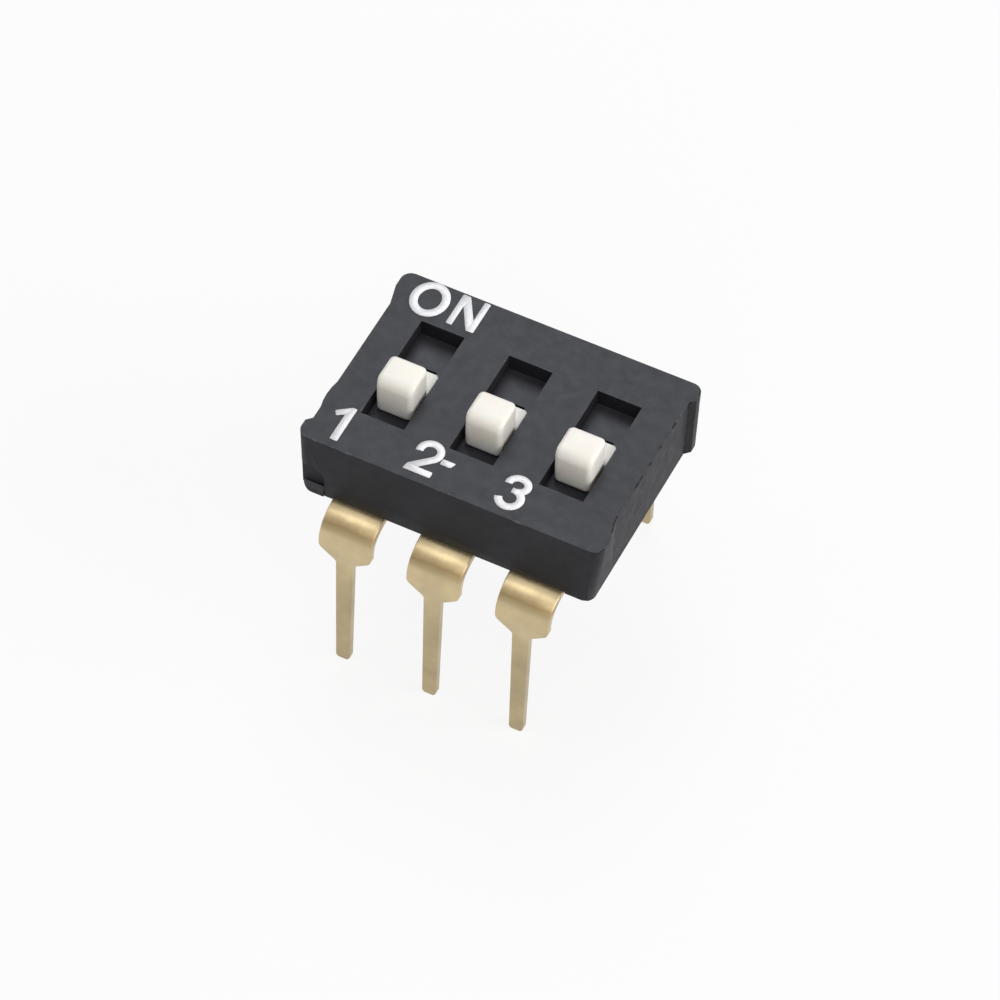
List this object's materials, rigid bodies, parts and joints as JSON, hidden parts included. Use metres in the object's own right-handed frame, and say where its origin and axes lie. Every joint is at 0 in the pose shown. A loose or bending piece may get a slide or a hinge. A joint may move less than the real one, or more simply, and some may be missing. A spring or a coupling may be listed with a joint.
{
  "type": "dip switch",
  "caption": "Low black moulded dip switch with white slide knobs in long pockets, marked ON and numbered, on two rows of flat gold-plated through-hole pins.",
  "frame": {"origin": "middle of the pin pattern, on the board's surface", "axes": "+X along the row from position 1 to position 3, +Y from OFF to ON, +Z away from the board"},
  "size_m": [0.0086, 0.008, 0.0081],
  "materials": {
    "cover_plastic": "satin black moulding",
    "base_plastic": "satin black moulding",
    "slider_plastic": "satin warm white moulding",
    "spring_leaf": "gold-plated spring strip",
    "terminal_plating": "pale gold plating on stamped strip"
  },
  "bodies": {
    "housing": {"cover": "cover_plastic", "base": "base_plastic", "front_terminal_1": "terminal_plating", "front_terminal_2": "terminal_plating", "front_terminal_3": "terminal_plating", "rear_terminal_1": "terminal_plating", "rear_terminal_2": "terminal_plating", "rear_terminal_3": "terminal_plating"},
    "slide_1": {"slider_1": "slider_plastic", "contact_spring_1": "spring_leaf"},
    "slide_2": {"slider_2": "slider_plastic", "contact_spring_2": "spring_leaf"},
    "slide_3": {"slider_3": "slider_plastic", "contact_spring_3": "spring_leaf"}
  },
  "joints": [
    {"name": "switch_1", "type": "slide", "parent": "housing", "child": "slide_1", "axis": [0, 1, 0], "range_m": [0, 0.00125]},
    {"name": "switch_2", "type": "slide", "parent": "housing", "child": "slide_2", "axis": [0, 1, 0], "range_m": [0, 0.00125]},
    {"name": "switch_3", "type": "slide", "parent": "housing", "child": "slide_3", "axis": [0, 1, 0], "range_m": [0, 0.00125]}
  ]
}
